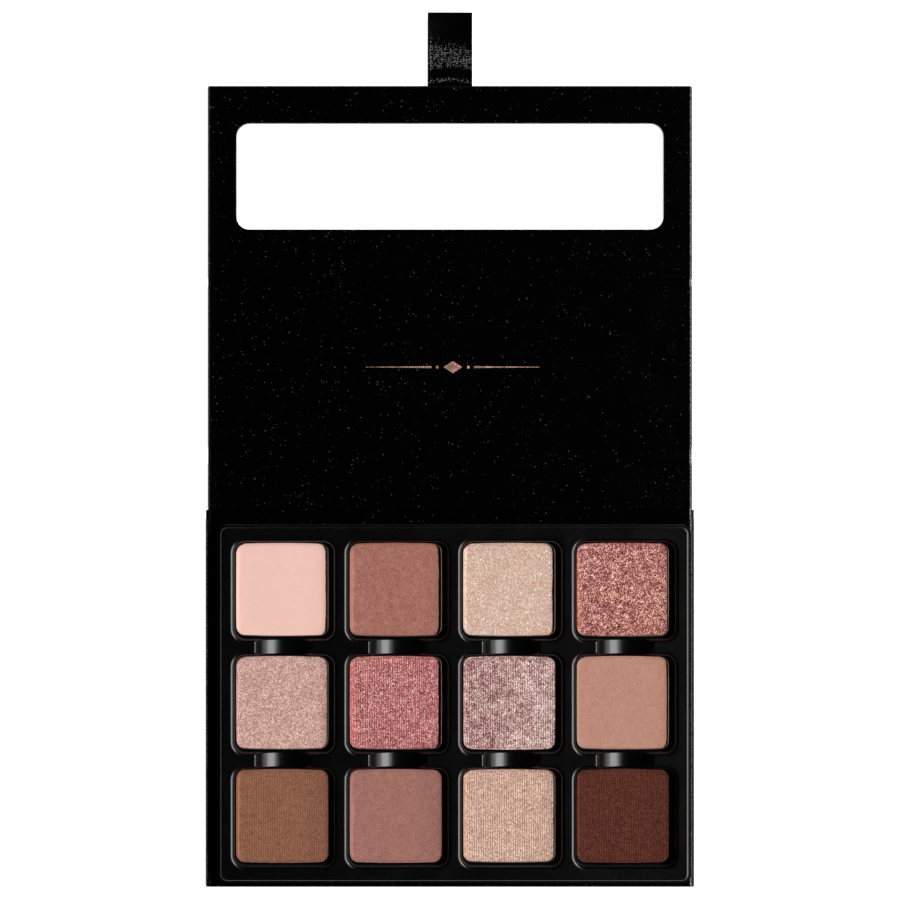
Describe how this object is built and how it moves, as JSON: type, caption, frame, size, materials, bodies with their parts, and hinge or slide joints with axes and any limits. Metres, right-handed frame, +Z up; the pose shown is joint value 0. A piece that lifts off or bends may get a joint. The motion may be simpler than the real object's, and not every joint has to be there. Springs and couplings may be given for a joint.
{
  "type": "eyeshadow palette",
  "caption": "Book-style eyeshadow palette, open: square powder pans in a moulded tray, folding lid with a clear window flap and a ribbon tab.",
  "frame": {"origin": "middle of the base panel's underside, on the surface that the palette lies on", "axes": "+X to the user's right, +Y from the base towards the spine and the open lid, +Z up"},
  "size_m": [0.138, 0.2467, 0.011],
  "materials": {
    "leatherette": "black leatherette paper with a fine pebbled grain",
    "card": "grey board",
    "tray_plastic": "semi-gloss black moulded plastic",
    "magnetic_rubber": "magnetic rubber sheet",
    "magnet": "nickel-plated magnet",
    "clear_film": "clear glossy film",
    "ribbon": "black satin ribbon",
    "tinplate": "drawn tinplate",
    "shade_r1c1": "matte pale pink pressed powder",
    "shade_r1c2": "satin red-brown pressed powder",
    "shade_r1c3": "champagne pressed powder with glitter flecks",
    "shade_r1c4": "rose-copper glitter pressed powder",
    "shade_r2c1": "pink champagne shimmer pressed powder",
    "shade_r2c2": "rose shimmer pressed powder, ribbed",
    "shade_r2c3": "silver-pink metallic pressed powder, ribbed",
    "shade_r2c4": "matte peach pressed powder",
    "shade_r3c1": "matte brown pressed powder, ribbed",
    "shade_r3c2": "matte mauve pressed powder",
    "shade_r3c3": "champagne shimmer pressed powder, ribbed",
    "shade_r3c4": "matte dark brown pressed powder, ribbed"
  },
  "bodies": {
    "base": {"base_board": "card", "base_wrap": "leatherette", "base_liner": "leatherette", "tray": "tray_plastic", "magnetic_sheet": "magnetic_rubber", "base_magnets": "magnet", "pan_r1c1": "tinplate", "pan_r1c2": "tinplate", "pan_r1c3": "tinplate", "pan_r1c4": "tinplate", "pan_r2c1": "tinplate", "pan_r2c2": "tinplate", "pan_r2c3": "tinplate", "pan_r2c4": "tinplate", "pan_r3c1": "tinplate", "pan_r3c2": "tinplate", "pan_r3c3": "tinplate", "pan_r3c4": "tinplate", "powder_r1c1": "shade_r1c1", "powder_r1c2": "shade_r1c2", "powder_r1c3": "shade_r1c3", "powder_r1c4": "shade_r1c4", "powder_r2c1": "shade_r2c1", "powder_r2c2": "shade_r2c2", "powder_r2c3": "shade_r2c3", "powder_r2c4": "shade_r2c4", "powder_r3c1": "shade_r3c1", "powder_r3c2": "shade_r3c2", "powder_r3c3": "shade_r3c3", "powder_r3c4": "shade_r3c4"},
    "spine": {"spine_board": "card", "spine_wrap": "leatherette", "spine_liner": "leatherette"},
    "lid": {"lid_board": "card", "lid_wrap": "leatherette", "lid_liner": "leatherette"},
    "flap": {"flap_board": "card", "flap_wrap": "leatherette", "flap_liner": "leatherette", "window_film": "clear_film", "flap_magnets": "magnet", "ribbon_tab": "ribbon"}
  },
  "joints": [
    {"name": "spine_hinge", "type": "hinge", "parent": "base", "child": "spine", "pos_m": [0, 0.05448, 0.00025], "axis": [1, 0, 0], "range_deg": [0, 90]},
    {"name": "lid_hinge", "type": "hinge", "parent": "spine", "child": "lid", "pos_m": [0, 0.06774, 0.00025], "axis": [1, 0, 0], "range_deg": [0, 90]},
    {"name": "flap_hinge", "type": "hinge", "parent": "lid", "child": "flap", "pos_m": [0, 0.11874, 0], "axis": [-1, 0, 0], "range_deg": [0, 165]}
  ]
}
